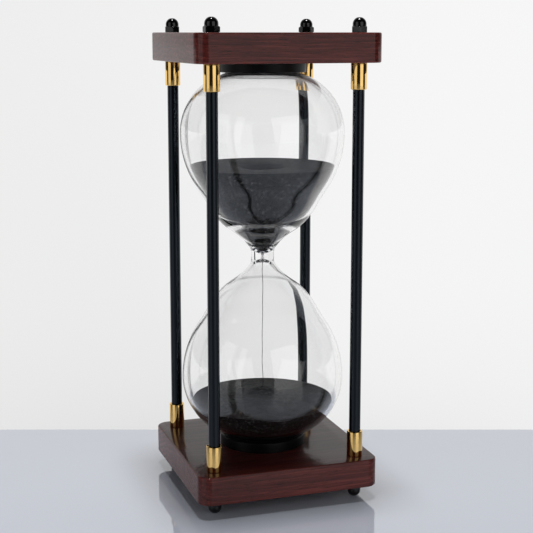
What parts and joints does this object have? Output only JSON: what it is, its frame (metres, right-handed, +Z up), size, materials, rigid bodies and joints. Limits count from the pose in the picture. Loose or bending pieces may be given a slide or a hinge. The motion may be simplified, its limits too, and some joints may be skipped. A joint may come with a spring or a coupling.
{
  "type": "hourglass",
  "caption": "Sand glass with a clear two-bulb vessel of dark sand between square wooden plates, held by black posts with gold ferrules and black dome cap nuts.",
  "frame": {"origin": "on the ground under the middle of the frame, level with the tips of the lower cap nuts", "axes": "+Z up along the glass's axis, -Y the front, +X to the right seen from the front"},
  "size_m": [0.13, 0.13, 0.3353],
  "materials": {
    "wood": "dark red-brown stain under gloss lacquer",
    "post_metal": "satin black paint",
    "rod_steel": "plain zinc-plated",
    "ferrule_brass": "polished and lacquered",
    "nut_black": "gloss black",
    "clear_glass": "clear blown glass",
    "plug_rubber": "matte",
    "seat_black": "fine matte black",
    "pad_foam": "closed-cell foam",
    "sand": "fine dark grains, matte"
  },
  "bodies": {
    "root": {"top_plate": "wood", "bottom_plate": "wood", "front_left_post": "post_metal", "front_left_tie_rod": "rod_steel", "front_left_lower_ferrule": "ferrule_brass", "front_left_upper_ferrule": "ferrule_brass", "front_left_foot_nut": "nut_black", "front_left_crown_nut": "nut_black", "front_right_post": "post_metal", "front_right_tie_rod": "rod_steel", "front_right_lower_ferrule": "ferrule_brass", "front_right_upper_ferrule": "ferrule_brass", "front_right_foot_nut": "nut_black", "front_right_crown_nut": "nut_black", "back_right_post": "post_metal", "back_right_tie_rod": "rod_steel", "back_right_lower_ferrule": "ferrule_brass", "back_right_upper_ferrule": "ferrule_brass", "back_right_foot_nut": "nut_black", "back_right_crown_nut": "nut_black", "back_left_post": "post_metal", "back_left_tie_rod": "rod_steel", "back_left_lower_ferrule": "ferrule_brass", "back_left_upper_ferrule": "ferrule_brass", "back_left_foot_nut": "nut_black", "back_left_crown_nut": "nut_black", "glass": "clear_glass", "fill_plug": "plug_rubber", "upper_seat": "seat_black", "lower_seat": "seat_black", "upper_pad": "pad_foam", "lower_pad": "pad_foam", "upper_sand": "sand", "falling_sand": "sand", "lower_sand": "sand"}
  },
  "joints": []
}
